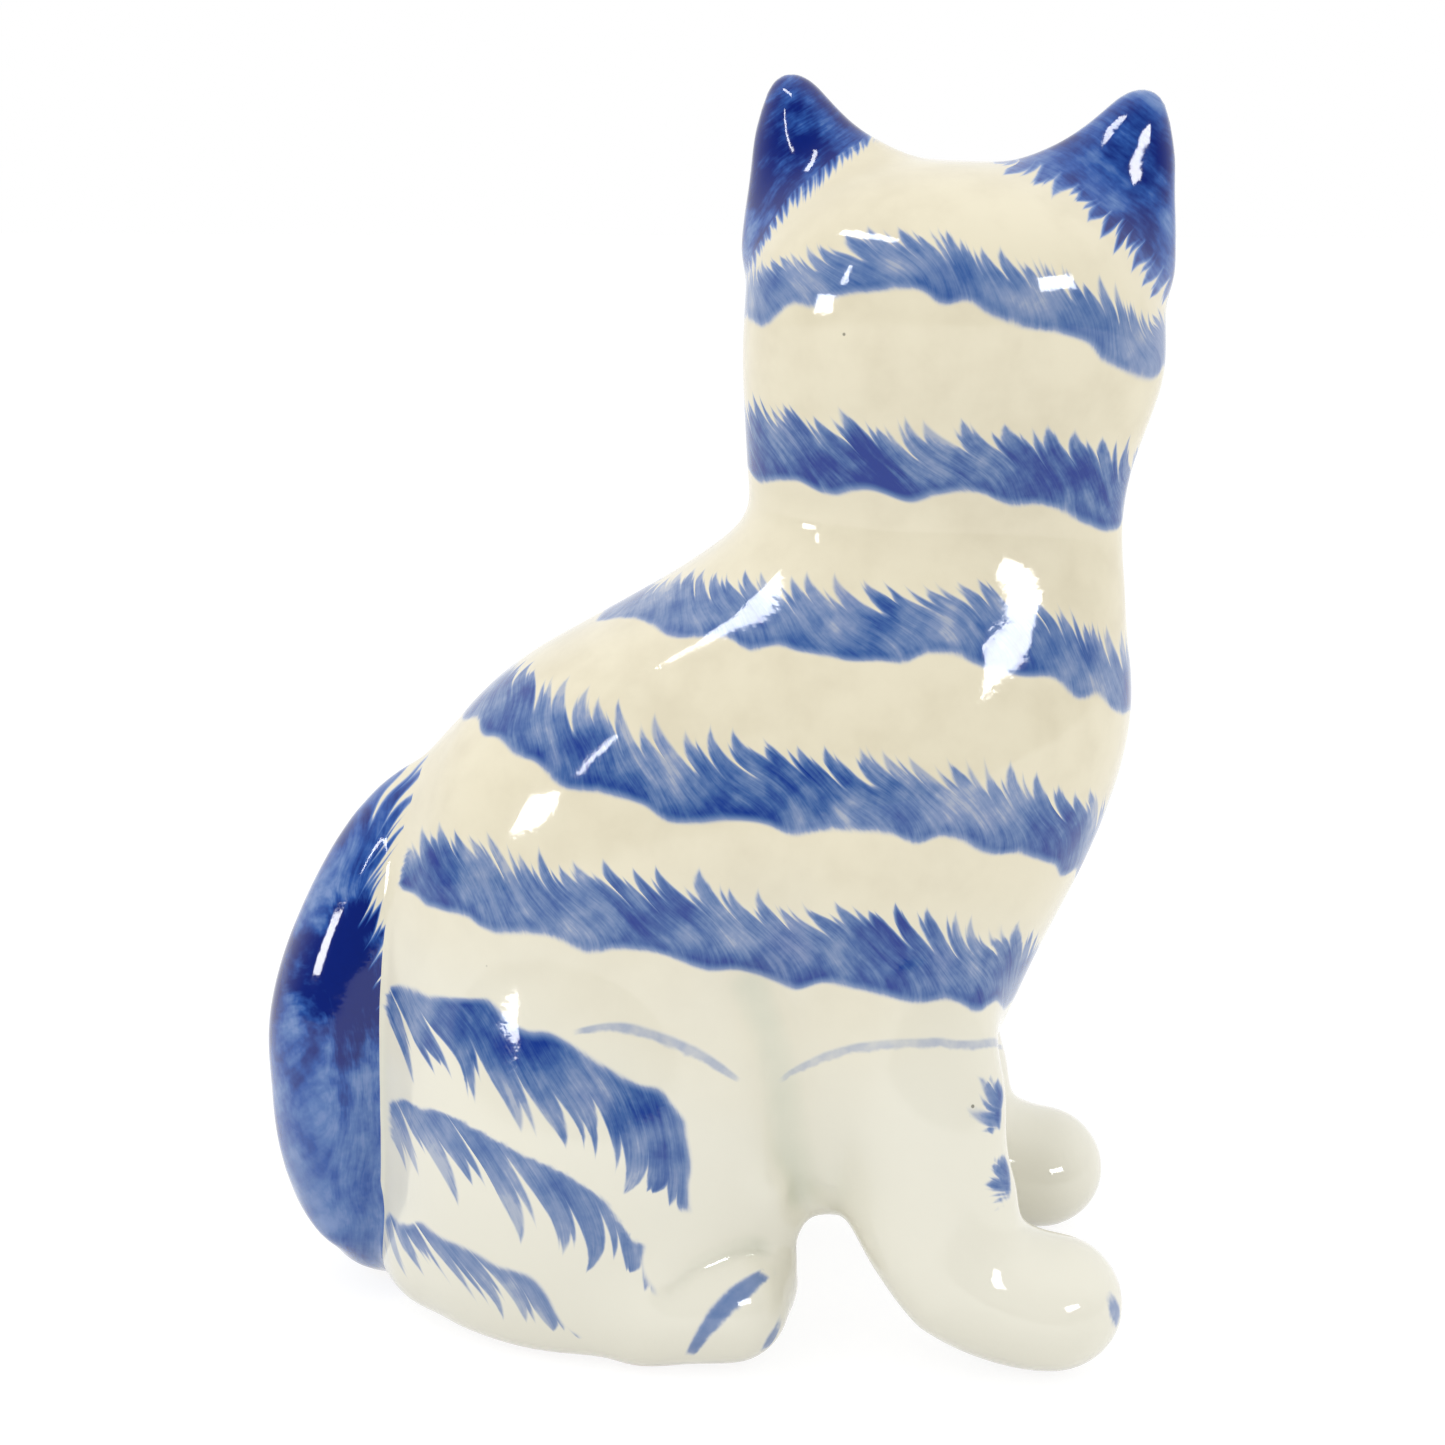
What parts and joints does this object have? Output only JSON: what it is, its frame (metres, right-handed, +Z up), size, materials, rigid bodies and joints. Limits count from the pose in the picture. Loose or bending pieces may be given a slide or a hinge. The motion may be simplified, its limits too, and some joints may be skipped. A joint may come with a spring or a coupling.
{
  "type": "cat figurine",
  "caption": "Sitting cat figurine in hollow cast glazed ceramic, head turned over its left shoulder, tail curled along the ground, flat unglazed foot to stand on.",
  "frame": {"origin": "on the resting plane, at the foot of the trunk's axis in the middle of its flat foot", "axes": "+X from the rump towards the chest and fore paws, +Y towards the cat's left side, +Z up"},
  "size_m": [0.1324, 0.0846, 0.1808],
  "materials": {
    "ivory_glaze": "gloss glaze over pale clay, painted cobalt stripes",
    "cobalt_glaze": "gloss glaze over brushed cobalt"
  },
  "bodies": {
    "root": {"trunk": "ivory_glaze", "head": "ivory_glaze", "ear_right": "cobalt_glaze", "ear_left": "cobalt_glaze", "foreleg_right": "ivory_glaze", "foreleg_left": "ivory_glaze", "hind_foot_right": "ivory_glaze", "hind_foot_left": "ivory_glaze", "tail": "cobalt_glaze"}
  },
  "joints": []
}
